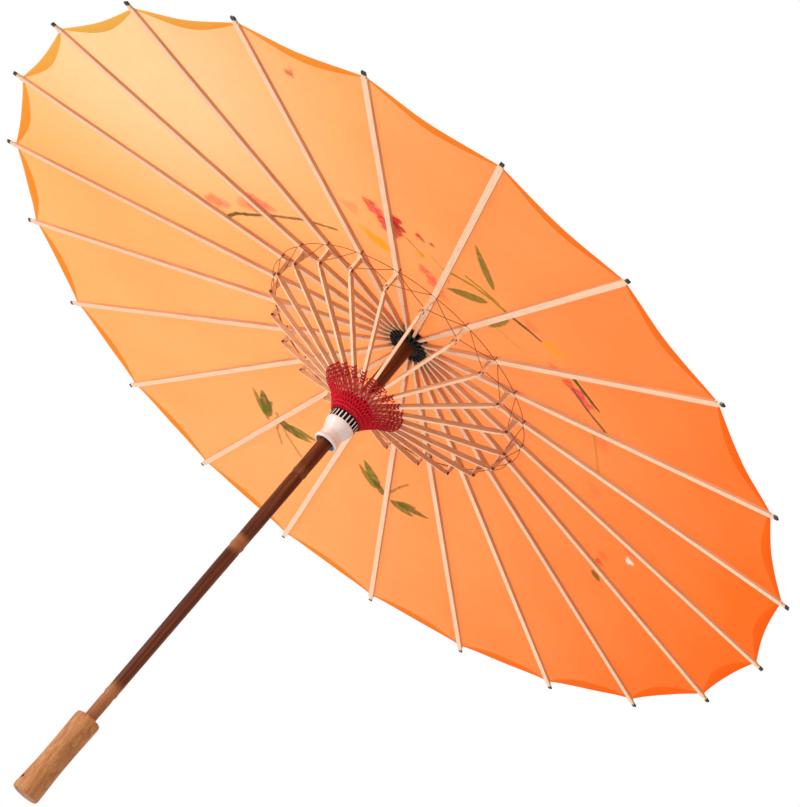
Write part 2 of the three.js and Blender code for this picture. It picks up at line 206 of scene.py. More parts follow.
def split_bamboo():
    """Pale split bamboo: long fibres, darker streaks, sides painted brown as shade, black paint on
    the tips.
    """
    s = Shader("split_bamboo")
    place = along_rib(s)
    facing = s.add("SeparateXYZ", {"Vector": along_rib(s, "Normal")})
    side_shade_mask = s.span(s.math("ABSOLUTE", (facing, "Y")), 0.55, 0.85)
    fibre = s.streaks(place, (9, 900, 900), 6, 0.6)
    streak = s.streaks(place, (4, 260, 260), 3, 0.5, 0.3)
    cloud = s.streaks(place, (14, 30, 30), 2)
    info = s.add("ObjectInfo")
    pale = s.mix((info, "Random"), (0.97, 0.63, 0.4), (0.93, 0.54, 0.31))
    tan = s.mix(s.span(streak, 0.45, 0.75, 0.0, 0.6), pale, (0.8, 0.4, 0.2))
    fine = s.mix(s.span(fibre, 0.35, 0.7, 0.0, 0.5), tan, (1.0, 0.74, 0.52))
    patch = s.mix(s.span(cloud, 0.5, 0.8, 0.0, 0.3), fine, (0.84, 0.46, 0.25))
    # the side faces are painted darker brown: painted shade
    side = s.mix(s.span(streak, 0.3, 0.7), (0.56, 0.25, 0.1), (0.38, 0.14, 0.05))
    patch = s.mix(s.math("MULTIPLY", side_shade_mask, 0.75), patch, side)
    reach = s.add("SeparateXYZ", {"Vector": place})
    edge = s.math("ADD", (reach, "X"), s.math("MULTIPLY", cloud, 2 * MM))
    ends = s.span(edge, TIP_R - 1.9 * MM, TIP_R - 1.5 * MM)
    colour = s.mix(ends, patch, (0.02, 0.012, 0.008))
    rough = s.span(fibre, 0.3, 0.7, 0.42, 0.62)
    normal = s.bump(fibre, 0.12 * MM, 0.5)
    bsdf = s.principled(Base_Color=colour, Roughness=rough, Normal=normal, Coat_Weight=0.08)
    return s.done(bsdf)


# paler stretches of the shaft: height of the middle, half length, fade and strength
PALE = [
    (0.048, 18 * MM, 12 * MM, 0.7),
    (0.231, 4 * MM, 8 * MM, 0.7),
    (0.318, 1 * MM, 6 * MM, 0.12),
]
KNOTS = (0.066, 0.230, 0.318)  # heights of the bamboo's knots


def stained_bamboo():
    """The shaft: bamboo stained red brown and varnished, paler at its knots."""
    s = Shader("stained_bamboo")
    place = s.place()
    fibre = s.streaks(place, (620, 620, 12), 6, 0.6)
    streak = s.streaks(place, (150, 150, 5), 4, 0.55, 0.4)
    cloud = s.noise(place, 22.0, 3)
    dark = s.mix(s.span(streak, 0.4, 0.72), (0.07, 0.012, 0.003), (0.2, 0.05, 0.013))
    fine = s.mix(s.span(fibre, 0.52, 0.8, 0.0, 0.45), dark, (0.36, 0.12, 0.035))
    height = (s.add("SeparateXYZ", {"Vector": place}), "Z")
    colour = fine
    for middle, reach, fade, share in PALE:
        away = s.math("ABSOLUTE", s.math("SUBTRACT", height, middle))
        wobble = s.math("ADD", away, s.math("MULTIPLY", cloud, 8 * MM))
        start = reach + 4 * MM
        near = s.span(wobble, start + fade, start, 0.0, share, "SMOOTHSTEP")
        mottled = s.mix(s.span(cloud, 0.4, 0.65), (0.46, 0.18, 0.065), (0.25, 0.08, 0.025))
        colour = s.mix(near, colour, mottled)
    rough = s.span(fibre, 0.3, 0.7, 0.4, 0.6)
    normal = s.bump(fibre, 0.1 * MM, 0.35)
    varnish = {"Specular_IOR_Level": 0.15, "Coat_Weight": 0.1, "Coat_Roughness": 0.2}
    return s.done(s.principled(Base_Color=colour, Roughness=rough, Normal=normal, **varnish))


def turned_wood(name, pale, dark, rough_low=0.4, rough_high=0.6):
    """Turned wood with its grain along the shaft and fine rings left by the lathe."""
    s = Shader(name)
    place = s.place()
    grain = s.streaks(place, (230, 230, 80), 6, 0.65, 0.8)
    fibre = s.streaks(place, (900, 900, 130), 4)
    cloud = s.streaks(place, (75, 75, 55), 4)
    base = s.mix(s.span(grain, 0.38, 0.68), pale, dark)
    patch = s.mix(s.span(cloud, 0.5, 0.75, 0.0, 0.5), base, dark)
    fleck = s.mix(s.span(fibre, 0.58, 0.75, 0.0, 0.45), patch, tuple(c * 0.6 for c in dark))
    rings = s.wave(place, 260.0, 1.5, "Z")
    normal = s.bump(rings, 0.03 * MM, 0.25)
    normal = s.bump(fibre, 0.1 * MM, 0.4, normal)
    rough = s.span(grain, 0.3, 0.7, rough_low, rough_high)
    bsdf = s.principled(Base_Color=fleck, Roughness=rough, Normal=normal, Specular_IOR_Level=0.3)
    return s.done(bsdf)


def painted_wood():
    """The runner: white paint on wood, worn to the wood on its edges and ring."""
    s = Shader("painted_wood")
    place = s.place()
    speck = s.noise(place, 900.0, 3)
    cloud = s.noise(place, 120.0, 4)
    grain = s.streaks(place, (400, 400, 40), 4)
    white = s.mix(s.span(cloud, 0.4, 0.7), (0.76, 0.72, 0.7), (0.64, 0.57, 0.51))
    worn = s.add("NewGeometry")
    edge = s.span((worn, "Pointiness"), 0.53, 0.6)
    scuff = s.math("MULTIPLY", edge, s.span(speck, 0.4, 0.6))
    colour = s.mix(scuff, white, (0.62, 0.43, 0.27))
    grey = s.mix(s.span(grain, 0.62, 0.8, 0.0, 0.4), colour, (0.6, 0.52, 0.45))
    normal = s.bump(grain, 0.08 * MM, 0.4)
    bsdf = s.principled(Base_Color=grey, Roughness=0.5, Normal=normal, Coat_Weight=0.15)
    return s.done(bsdf)


def thread(name, light, dark, outer):
    """Twisted cotton: the strands follow the thread's UV, and it is painted darker away from the
    shaft as shade.
    """
    s = Shader(name)
    flat = s.add("VectorMath", {0: s.place(), 1: (1, 1, 0)}, operation="MULTIPLY")
    reach = s.add("VectorMath", {0: flat}, operation="LENGTH")
    # painted shade: darker away from the shaft, where the threads lie under the stretchers and the
    # canopy
    outward_shade = s.span((reach, "Value"), 26 * MM, 46 * MM)
    light = s.mix(outward_shade, light, outer)
    dark = s.mix(outward_shade, dark, tuple(c * 0.4 for c in outer))
    uv = (s.add("UVMap"), "UV")
    twist = s.wave(uv, 1.0, 0.4, "DIAGONAL")
    fuzz = s.noise(s.place(), 700.0, 3)
    colour = s.mix(s.span(twist, 0.2, 0.8), dark, light)
    colour = s.mix(s.span(fuzz, 0.4, 0.7, 0.0, 0.4), colour, light)
    normal = s.bump(twist, 0.1 * MM, 0.6)
    bsdf = s.principled(Base_Color=colour, Roughness=0.85, Normal=normal, Specular_IOR_Level=0.2)
    return s.done(bsdf)


def drawn_wire():
    """Brass wire with a brown tarnish."""
    s = Shader("drawn_wire")
    place = s.place()
    tarnish = s.noise(place, 300.0, 4)
    colour = s.mix(s.span(tarnish, 0.4, 0.7), (0.72, 0.5, 0.22), (0.36, 0.22, 0.1))
    rough = s.span(tarnish, 0.3, 0.7, 0.25, 0.5)
    return s.done(s.principled(Base_Color=colour, Roughness=rough, Metallic=1.0))


DEEPER_SHADE_TOWARDS = (0.956, -0.292, 0.0)  # the side of the cloth painted deepest orange, as painted shade away from the lamps
# where the cloth is painted palest: a painted glow from the lamps
GLOW_SPOT = (-0.33, -0.17, RIM_Z)


def dye_and_glow_share(shader):
    """How deep the cloth is coloured, 0 to 1: painted shade away from the lamps, painted glow near
    its rim.
    """
    place = shader.place()
    across = shader.add("VectorMath", {0: place, 1: DEEPER_SHADE_TOWARDS}, operation="DOT_PRODUCT")
    steady = shader.span((across, "Value"), -0.08, 0.4, 0.54, 1.0)
    away = shader.add("VectorMath", {0: place, 1: GLOW_SPOT}, operation="DISTANCE")
    glow = shader.span((away, "Value"), 0.02, 0.27, 0.54, 0.0, "SMOOTHSTEP")
    share = shader.math("SUBTRACT", steady, glow)
    cloud = shader.noise(place, 9.0, 4, 0.6)
    drift = shader.math("MULTIPLY", shader.math("SUBTRACT", cloud, 0.5), 0.2)
    return shader.math("ADD", share, drift)


def silk_cloth(name, pale, middle, deep, see_through):
    """Thin dyed silk with a visible weave and a soft sheen, which lets light through.

    The colour attribute holds the painting, with its strength as alpha.
    """
    s = Shader(name)
    uv = (s.add("UVMap"), "UV")
    weave = s.math("MAXIMUM", s.wave(uv, 520.0, 0.6, "X"), s.wave(uv, 480.0, 0.6, "Y"))
    slub = s.streaks(uv, (900, 60, 1), 4)
    slub_across = s.streaks(uv, (60, 900, 1), 4)
    # the cloth's orange is its own; its change from pale to deep across the umbrella is painted light
    share = dye_and_glow_share(s)
    pale_dye_and_glow = s.mix(s.span(share, 0.0, 0.5), pale, middle)
    dye_and_glow = s.mix(s.span(share, 0.5, 1.0), pale_dye_and_glow, deep)
    threads = s.math("MAXIMUM", slub, slub_across)
    dye_and_glow = s.mix(s.span(threads, 0.55, 0.8, 0.0, 0.25), dye_and_glow, deep)
    paint = s.add("VertexColor", layer_name="painting")
    colour = s.mix((paint, "Alpha"), dye_and_glow, (paint, "Color"))
    normal = s.bump(weave, 0.05 * MM, 0.4)
    sheen = {"Specular_IOR_Level": 0.15, "Sheen_Weight": 0.1, "Sheen_Tint": (1.0, 0.5, 0.2)}
    front = s.principled(Base_Color=colour, Roughness=0.7, Normal=normal, **sheen)
    through = s.add("BsdfTranslucent", {"Color": colour, "Normal": normal})
    body = s.add("MixShader", {0: 0.6, 1: front, 2: through})
    clear = s.add("BsdfTransparent", {"Color": s.mix(0.5, (1, 1, 1), dye_and_glow)})
    gaps = s.span(weave, 0.2, 0.9, see_through * 1.4, see_through * 0.7)
    loose = s.math("MULTIPLY", gaps, s.span(share, 0.0, 1.0, 1.4, 0.3))
    bare = s.math("MULTIPLY_ADD", (paint, "Alpha"), -0.8, 1.0)
    return s.done(s.add("MixShader", {0: s.math("MULTIPLY", loose, bare), 1: body, 2: clear}))


def plain_floor():
    """Near-white board."""
    s = Shader("floor")
    cloud = s.noise(s.place(), 3.0, 3)
    colour = s.mix(s.span(cloud, 0.3, 0.7), (0.91, 0.91, 0.91), (0.93, 0.93, 0.925))
    return s.done(s.principled(Base_Color=colour, Roughness=0.85))


MATERIALS = {
    "bamboo": split_bamboo(),
    "shaft": stained_bamboo(),
    "handle": turned_wood("handle_wood", (0.52, 0.22, 0.07), (0.3, 0.1, 0.026)),
    "black": turned_wood("black_wood", (0.022, 0.015, 0.011), (0.007, 0.005, 0.004), 0.55, 0.75),
    "white": painted_wood(),
    "red": thread("red_thread", (0.7, 0.01, 0.028), (0.34, 0.002, 0.008), (0.56, 0.035, 0.035)),
    "crimson": thread("crimson_thread", (0.2, 0.002, 0.007), (0.07, 0.001, 0.002), (0.3, 0.01, 0.01)),
    "dark_red": thread("dark_red_thread", (0.42, 0.06, 0.03), (0.2, 0.02, 0.01), (0.36, 0.07, 0.03)),
    "wire": drawn_wire(),
    "cloth": silk_cloth(
        "silk_cloth", (1.0, 0.52, 0.235), (1.0, 0.38, 0.112), (1.0, 0.155, 0.006), 0.06
    ),
    "hem": silk_cloth(
        "silk_hem", (0.75, 0.57, 0.13), (0.85, 0.45, 0.055), (0.96, 0.25, 0.006), 0.02
    ),
    "floor": plain_floor(),
}


# ---- mesh helpers ----
def new_piece(name, vertices, faces, material, smooth=True, uvs=None):
    """A mesh object; uvs holds one (u, v) for each vertex."""
    mesh = bpy.data.meshes.new(name)
    mesh.from_pydata([tuple(v) for v in vertices], [], faces)
    mesh.materials.append(MATERIALS[material])
    mesh.polygons.foreach_set("use_smooth", [smooth] * len(mesh.polygons))
    if uvs is not None:
        layer = mesh.uv_layers.new(name="UVMap")
        flat = []
        for loop in mesh.loops:
            flat.extend(uvs[loop.vertex_index])
        layer.data.foreach_set("uv", flat)
    mesh.update()
    piece = bpy.data.objects.new(name, mesh)
    bpy.context.scene.collection.objects.link(piece)
    return piece


def apply_modifiers(piece):
    """Makes a piece's modifiers part of its mesh."""
    graph = bpy.context.evaluated_depsgraph_get()
    mesh = bpy.data.meshes.new_from_object(piece.evaluated_get(graph))
    old = piece.data
    piece.modifiers.clear()
    piece.data = mesh
    bpy.data.meshes.remove(old)


def soften(piece, width):
    """Rounds the sharp edges, with a bevel kept as a modifier."""
    bevel = piece.modifiers.new("rounded_edges", "BEVEL")
    bevel.width = width
    bevel.segments = 2
    bevel.limit_method = "ANGLE"
    bevel.angle_limit = math.radians(40)


def tube(path, radius, sides=6, closed=False):
    """Vertices, faces and UVs of a round thread along a path of points."""
    points = [Vector(p) for p in path]
    count = len(points)
    vertices, faces, uvs = [], [], []
    run = 0.0
    side = None
    for i, point in enumerate(points):
        before = points[i - 1] if (i or closed) else point
        after = points[(i + 1) % count] if (i < count - 1 or closed) else point
        ahead = (after - before).normalized()
        if side is None:
            side = ahead.orthogonal().normalized()
        side = (side - ahead * side.dot(ahead)).normalized()
        up = ahead.cross(side)
        run += (point - points[i - 1]).length if i else 0.0
        for k in range(sides):
            angle = math.tau * k / sides
            vertices.append(point + radius * (math.cos(angle) * side + math.sin(angle) * up))
            uvs.append((run / (6 * radius), k / sides))
    rings = count if closed else count - 1
    for i in range(rings):
        for k in range(sides):
            a = i * sides + k
            b = i * sides + (k + 1) % sides
            shift = (i + 1) % count * sides
            faces.append((a, b, shift + (k + 1) % sides, shift + k))
    if not closed:
        faces.append(tuple(reversed(range(sides))))
        faces.append(tuple((count - 1) * sides + k for k in range(sides)))
    return vertices, faces, uvs


def threads(name, paths, material):
    """Several threads as one piece; paths holds (points, radius, closed)."""
    vertices, faces, uvs = [], [], []
    for points, radius, closed in paths:
        new_vertices, new_faces, new_uvs = tube(points, radius, closed=closed)
        start = len(vertices)
        vertices += new_vertices
        faces += [tuple(start + k for k in face) for face in new_faces]
        uvs += new_uvs
    return new_piece(name, vertices, faces, material, uvs=uvs)


def lathe(name, profile, material, segments=96):
    """A body of revolution round Z from (radius, height) pairs; radius 0 closes an end."""
    vertices, faces, rings = [], [], []
    for radius, height in profile:
        if radius < 1e-7:
            rings.append([len(vertices)])
            vertices.append((0, 0, height))
            continue
        rings.append(range(len(vertices), len(vertices) + segments))
        for k in range(segments):
            angle = math.tau * k / segments
            vertices.append((radius * math.cos(angle), radius * math.sin(angle), height))
    for lower, upper in zip(rings, rings[1:]):
        for k in range(segments):
            n = (k + 1) % segments
            corners = [lower[k % len(lower)], lower[n % len(lower)]]
            corners += [upper[n % len(upper)], upper[k % len(upper)]]
            face = tuple(dict.fromkeys(corners))
            if len(face) > 2:
                faces.append(face)
    return new_piece(name, vertices, faces, material)


def rounded(points, radius, steps=4):
    """An outline of (radius, height) pairs with every corner between its ends rounded."""
    out = [points[0]]
    for before, corner, after in zip(points, points[1:], points[2:]):
        c = Vector(corner)
        to_before = Vector(before) - c
        to_after = Vector(after) - c
        reach = min(radius, 0.45 * to_before.length, 0.45 * to_after.length)
        start = c + to_before.normalized() * reach
        end = c + to_after.normalized() * reach
        for k in range(steps + 1):
            t = k / steps
            p = start * (1 - t) ** 2 + c * 2 * t * (1 - t) + end * t * t
            out.append((p.x, p.y))
    out.append(points[-1])
    return out


def box_at(centre, size, turn=0.0):
    """Vertices and faces of a block turned about Z."""
    spin = Matrix.Rotation(turn, 3, "Z")
    vertices = []
    for x, y, z in product((-0.5, 0.5), repeat=3):
        local = Vector((x * size[0], y * size[1], z * size[2]))
        vertices.append(spin @ (Vector(centre) + local))
    faces = [(0, 1, 3, 2), (4, 6, 7, 5), (0, 4, 5, 1), (2, 3, 7, 6), (0, 2, 6, 4), (1, 5, 7, 3)]
    return vertices, faces


def rod_between(a, b, radius):
    """Vertices and faces of a round rod."""
    return tube([a, b], radius, sides=24)[:2]


def cut(piece, *solids, inside):
    """Cuts closed solids, given as (vertices, faces), out of a piece; inside colours the cut."""
    vertices, faces = [], []
    for solid_vertices, solid_faces in solids:
        start = len(vertices)
        vertices += solid_vertices
        faces += [tuple(start + k for k in face) for face in solid_faces]
    cutter = new_piece("cutter", vertices, faces, inside, smooth=False)
    boolean = piece.modifiers.new("cut", "BOOLEAN")
    boolean.object = cutter
    boolean.operation = "DIFFERENCE"
    boolean.solver = "EXACT"
    boolean.material_mode = "TRANSFER"
    apply_modifiers(piece)
    bpy.data.objects.remove(cutter)


def edge_normals(piece, angle=32):
    """Smooth shading that stops at edges sharper than the angle."""
    piece.data.polygons.foreach_set("use_smooth", [True] * len(piece.data.polygons))
    piece.data.set_sharp_from_angle(angle=math.radians(angle))
    return piece


# ---- the painting ----
# Places on the cloth are (rib, radius in mm): rib 2.5 is halfway from rib 02 to rib 03.
INK = {
    "bark": (0.16, 0.075, 0.018),
    "olive": (0.32, 0.19, 0.01),
    "leaf": (0.12, 0.125, 0.008),
    "dark_leaf": (0.055, 0.07, 0.008),
    "red": (0.66, 0.02, 0.015),
    "dark_red": (0.4, 0.008, 0.015),
    "pink": (0.92, 0.09, 0.05),
    "rose": (0.78, 0.06, 0.07),
    "yellow": (1.0, 0.3, 0.004),
    "white": (1.0, 0.75, 0.62),
}

# ink, strength, width in mm at both ends, then the places it goes through
BRANCHES = [
    ("bark", 0.85, 2.6, 2.2, [(17.94, 199), (18.3, 193), (18.72, 181)]),
    ("bark", 0.75, 2.0, 1.0, [(18.72, 181), (19.7, 167), (20.6, 159)]),
    ("olive", 0.5, 0.8, 1.6, [(22.05, 203), (22.3, 199), (22.55, 189)]),
    ("olive", 0.35, 1.0, 0.6, [(22.7, 197), (22.95, 188), (23.1, 175)]),
    ("olive", 0.85, 1.0, 2.4, [(22.95, 190), (23.4, 205), (23.66, 210), (24.03, 213)]),
    ("bark", 0.85, 2.6, 1.4, [(24.03, 213), (24.25, 221), (24.47, 229)]),
    ("olive", 0.8, 0.9, 1.6, [(23.25, 210), (23.5, 213), (23.8, 214)]),
    ("olive", 0.3, 0.7, 0.7, [(24.1, 171), (24.4, 180), (24.62, 187)]),
    ("dark_leaf", 0.85, 3.2, 1.0, [(25.06, 236), (25.25, 239), (25.42, 243), (25.56, 247)]),
    ("bark", 0.8, 1.2, 2.0, [(25.3, 226), (25.65, 231), (25.95, 241)]),
    ("olive", 0.4, 0.8, 0.6, [(26.02, 226), (26.5, 222), (26.95, 220)]),
    ("bark", 0.5, 0.8, 0.6, [(13.1, 243), (12.75, 257), (12.4, 268)]),
    ("bark", 0.5, 0.8, 0.6, [(13.0, 247), (12.9, 262), (12.7, 275)]),
    ("bark", 0.5, 0.8, 0.6, [(10.98, 226), (10.8, 208), (10.62, 196)]),
]

# ink, strength, width in mm, base and tip
LEAVES = [
    ("leaf", 0.92, 9.0, (23.62, 228), (23.12, 273)),
    ("leaf", 0.92, 11.0, (23.72, 201), (23.12, 161)),
    ("leaf", 0.8, 9.0, (24.05, 209), (24.14, 163)),
    ("dark_leaf", 0.92, 13.0, (13.1, 257), (13.55, 232)),
    ("leaf", 0.92, 9.0, (13.2, 259), (13.3, 233)),
    ("leaf", 0.9, 7.0, (13.06, 262), (13.65, 241)),
    ("dark_leaf", 0.9, 11.0, (13.05, 250), (12.55, 243)),
    ("leaf", 0.9, 8.0, (12.9, 246), (12.38, 227)),
    ("leaf", 0.85, 8.0, (12.75, 244), (12.42, 236)),
    ("leaf", 0.92, 12.0, (11.16, 228), (11.56, 200)),
    ("leaf", 0.9, 8.0, (11.22, 232), (11.62, 211)),
    ("dark_leaf", 0.85, 9.0, (11.05, 235), (11.3, 219)),
    ("leaf", 0.92, 10.0, (10.95, 236), (10.5, 239)),
    ("dark_leaf", 0.9, 8.0, (10.85, 232), (10.22, 231)),
    ("leaf", 0.85, 7.0, (10.8, 232), (10.45, 224)),
    ("dark_leaf", 0.85, 7.0, (29.16, 262), (29.2, 276)),
]

# ink, strength, radius in mm, place
PETALS = [
    ("pink", 0.5, 8.0, (18.2, 216)),
    ("rose", 0.35, 6.0, (18.32, 207)),
    ("pink", 0.35, 8.0, (18.75, 196)),
    ("rose", 0.62, 7.0, (18.88, 188)),
    ("pink", 0.5, 8.0, (19.05, 194)),
    ("rose", 0.4, 6.0, (19.2, 184)),
    ("pink", 0.25, 8.0, (21.3, 205)),
    ("red", 0.6, 6.0, (21.7, 226)),
    ("rose", 0.7, 7.0, (21.78, 217)),
    ("red", 0.65, 6.0, (21.86, 207)),
    ("rose", 0.7, 7.0, (21.92, 199)),
    ("red", 0.85, 6.0, (22.08, 220)),
    ("dark_red", 0.75, 6.0, (22.12, 210)),
    ("red", 0.8, 5.0, (22.1, 201)),
    ("red", 0.6, 4.0, (22.04, 193)),
    ("yellow", 0.7, 8.0, (21.55, 169)),
    ("yellow", 0.75, 7.0, (21.75, 163)),
    ("yellow", 0.4, 6.0, (21.4, 176)),
    ("yellow", 0.6, 4.0, (22.5, 186)),
    ("red", 0.7, 3.2, (22.45, 219)),
    ("dark_red", 0.6, 2.2, (22.52, 216)),
    ("dark_red", 0.6, 2.2, (22.66, 219)),
    ("pink", 0.6, 6.0, (22.62, 164)),
    ("rose", 0.5, 5.0, (22.8, 158)),
    ("pink", 0.5, 7.0, (22.85, 152)),
    ("pink", 0.3, 7.0, (23.1, 143)),
    ("yellow", 0.6, 7.0, (24.58, 236)),
    ("yellow", 0.5, 5.0, (24.7, 241)),
    ("pink", 0.3, 6.0, (24.25, 232)),
    ("pink", 0.45, 7.0, (25.0, 218)),
    ("red", 0.5, 6.0, (25.22, 224)),
    ("rose", 0.75, 7.0, (25.36, 231)),
    ("rose", 0.6, 6.0, (25.52, 235)),
    ("pink", 0.25, 8.0, (26.25, 231)),
    ("pink", 0.2, 8.0, (27.45, 219)),
    ("red", 0.45, 4.5, (28.89, 258)),
    ("pink", 0.35, 6.0, (28.7, 255)),
    ("white", 0.8, 4.0, (28.3, 274)),
    ("pink", 0.35, 6.0, (28.1, 268)),
    ("dark_red", 0.6, 4.5, (21.3, 370)),
]


def on_plan(place):
    """A place on the cloth as (x, y) in mm, seen along the shaft."""
    rib, radius = place
    turn = FIRST_TURN + (rib - 1) * PITCH
    return np.array((radius * math.cos(turn), radius * math.sin(turn)))


def ramp(value, low, high):
    """0 below low and 1 above high, smooth in between."""
    share = np.clip((value - low) / (high - low), 0, 1)
    return share * share * (3 - 2 * share)


def wash(x, y, size):
    """Uneven paint: a value that wanders between about -1 and 1 over the cloth."""
    a = np.sin(x / size + 1.7 * np.sin(y / size * 0.8 + 0.4))
    b = np.sin(y / size * 1.3 + 1.9 * np.sin(x / size * 1.1 + 2.1))
    return 0.5 * (a + b)


def along_stroke(x, y, a, b):
    """How far along a stroke a point lies, from 0 to 1, and how far off it in mm."""
    run = b - a
    length = math.hypot(*run)
    share = ((x - a[0]) * run[0] + (y - a[1]) * run[1]) / length**2
    off = np.abs((x - a[0]) * run[1] - (y - a[1]) * run[0]) / length
    return share, off, length


def petal(x, y, radius, place):
    """How much paint a soft lobed dab leaves."""
    cx, cy = on_plan(place)
    angle = np.arctan2(y - cy, x - cx)
    lobes = 1 + 0.16 * np.cos(3 * angle + cx) + 0.1 * wash(x, y, 2.0)
    away = np.hypot(x - cx, y - cy) / lobes
    fade = 1 - ramp(away, radius * 0.7, radius * 1.4)
    return 1.4 * fade * (0.85 + 0.2 * wash(x, y, 1.6))


def branch_parts(x, y, first, last, places):
    """How much paint each straight part of a brush line leaves."""
    for i, (start, end) in enumerate(zip(places, places[1:])):
        share, off, length = along_stroke(x, y, on_plan(start), on_plan(end))
        run = (i + np.clip(share, 0, 1)) / (len(places) - 1)
        beyond = np.maximum(0, np.maximum(-share, share - 1)) * length
        half = (first + (last - first) * run + 1.3) / 2 * (1 + 0.25 * wash(x, y, 3.0))
        edge = np.hypot(off, beyond) - half
        yield 1.15 * (1 - ramp(edge, -0.3, 0.9))


def leaf(x, y, width, base, tip):
    """How much paint a pointed leaf with a paler vein leaves."""
    share, off, _ = along_stroke(x, y, on_plan(base), on_plan(tip))
    half = width / 2 * np.sin(math.pi * np.clip(share, 0, 1) ** 0.8) ** 0.75
    edge = off - half * (1 + 0.08 * wash(x, y, 2.5))
    body = (1 - ramp(edge, -0.7, 0.7)) * ((share > 0) & (share < 1))
    vein = 1 - 0.14 * np.exp(-((off / 0.8) ** 2))
    return body * vein * (0.92 + 0.1 * wash(x, y, 2.2))


def painted(x, y):
    """The painting's colour and strength at points of the cloth, in mm on plan."""
    colour = np.zeros((len(x), 3))
    cover = np.zeros(len(x))

    def lay(ink, share):
        nonlocal colour, cover
        share = np.clip(share, 0, 1)
        total = share + cover * (1 - share)
        weight = np.where(total > 1e-6, share / np.maximum(total, 1e-6), 0)[:, None]
        colour = colour * (1 - weight) + np.array(INK[ink]) * weight
        cover = total

    for ink, strength, radius, place in PETALS:
        lay(ink, strength * petal(x, y, radius, place))
    for ink, strength, first, last, places in BRANCHES:
        for share in branch_parts(x, y, first, last, places):
            lay(ink, strength * share)
    for ink, strength, width, base, tip in LEAVES:
        lay(ink, strength * leaf(x, y, width, base, tip))
    return colour, cover


def paint(piece):
    """Puts the painting on a piece of cloth, as its colour attribute."""
    mesh = piece.data
    places = np.empty(len(mesh.vertices) * 3)
    mesh.vertices.foreach_get("co", places)
    places = places.reshape(-1, 3) / MM
    colour, cover = painted(places[:, 0], places[:, 1])
    values = np.column_stack((colour, cover)).astype(np.float32)
    layer = mesh.color_attributes.new("painting", "FLOAT_COLOR", "POINT")
    layer.data.foreach_set("color", values.ravel())


# ---- the cloth ----
def hem_radius(off, bow=HEM_BOW):
    """The cloth's outer radius at an angle off the nearest rib."""
    chord = RIM_R * math.cos(HALF_BAY) / math.cos(HALF_BAY - abs(off))
    return chord - bow * math.sin(math.pi * abs(off) / PITCH)


LIFT = 2.2 * MM  # how far the cloth turns up where the cap pinches it
LIFT_OUT = 29 * MM  # the radius where it starts to turn up
LIFT_REACH = 10 * MM
SAG = 1.6 * MM  # how far it hangs in the middle of a bay at the rim
PULL = 0.5 * MM  # the faint waves in it
PULLS_PER_M = 26


def cloth_height(radius, off, turn):
    """The cloth's underside: flat between two ribs, with a slight sag and faint pulls."""
    on_rib = radius * math.cos(HALF_BAY - abs(off)) / math.cos(HALF_BAY)
    height = RIM_Z + (RIM_R - on_rib) * CLOTH_SLOPE
    near_hub = max(0.0, min(1.0, (LIFT_OUT - radius) / LIFT_REACH))
    height += LIFT * near_hub * near_hub * (3 - 2 * near_hub)
    across = math.sin(math.pi * abs(off) / PITCH)
    out = radius / RIM_R
    height -= SAG * across**2 * out**1.5
    spot = around(radius, 0, turn + off) * PULLS_PER_M
    pull = noise.noise(Vector((spot.x, spot.y, 3.1)))
    return height + PULL * pull * across * out


def cloth_grid(name, outs, columns, place, material):
    """Painted cloth as a grid; place gives a point and its UV from shares out and across."""
    vertices, uvs, faces = [], [], []
    for out in outs:
        for k in range(columns + 1):
            point, uv = place(out, k / columns)
            vertices.append(point)
            uvs.append(uv)
    row = columns + 1
    for i in range(len(outs) - 1):
        for a in range(i * row, i * row + columns):
            faces.append((a, a + row, a + row + 1, a + 1))
    piece = new_piece(name, vertices, faces, material, uvs=uvs)
    paint(piece)
    return piece


PAINTED_BAND = (138 * MM, 286 * MM)  # the radii between which most of the painting lies
FINE_STEP = 1.15 * MM
COARSE_STEP = 6 * MM
FINE_COLUMNS = 56
PLAIN_COLUMNS = 12
PAINTED_RIBS = (*range(1, 8), *range(10, 15), *range(18, 23))


def panel_shares():
    """The rows of a panel as shares of the way from its inner edge to its hem."""
    full = RIM_R - CLOTH_IN
    edges = [0.0] + [(r - CLOTH_IN) / full for r in PAINTED_BAND] + [1.0]
    steps = (COARSE_STEP, FINE_STEP, COARSE_STEP)
    shares = []
    for low, high, step in zip(edges, edges[1:], steps):
        count = math.ceil((high - low) * full / step)
        shares += [low + (high - low) * i / count for i in range(count)]
    return shares + [1.0]


def panel_piece(number):
    """One rib's share of the cloth, half a bay to each side."""
    turn = TURNS[number]
    columns = FINE_COLUMNS if int(number) in PAINTED_RIBS else PLAIN_COLUMNS

    def place(out, across):
        off = HALF_BAY * (2 * across - 1)
        radius = CLOTH_IN + (hem_radius(off) - CLOTH_IN) * out
        point = around(radius, cloth_height(radius, off, turn), turn + off)
        return point, (radius * off, radius)

    return cloth_grid(f"cloth_{number}", panel_shares(), columns, place, "cloth")


def even_shares(steps):
    return [i / steps for i in range(steps + 1)]


def hem_piece(number):
    """The turned-in hem under the cloth's edge, widest in the middle of a bay."""
    turn = TURNS[number]

    def place(out, across):
        off = HALF_BAY * (2 * across - 1)
        outer = hem_radius(off) - 0.2 * MM
        inner = hem_radius(off, HEM_BOW + HEM_DEPTH) - 1.2 * MM
        radius = inner + (outer - inner) * out
        drop = 0.35 * MM + 0.25 * MM * math.sin(math.pi * out)
        height = cloth_height(radius, off, turn) - drop * (1 if out < 1 else 0.2)
        return around(radius, height, turn + off), (radius * off, radius)

    return cloth_grid(f"hem_{number}", even_shares(4), 24, place, "hem")


COVER_IN = 24 * MM
COVER_OUT = RIM_R - 1.5 * MM
COVER_HALF = 2.2 * MM  # half the width of the strip over a rib


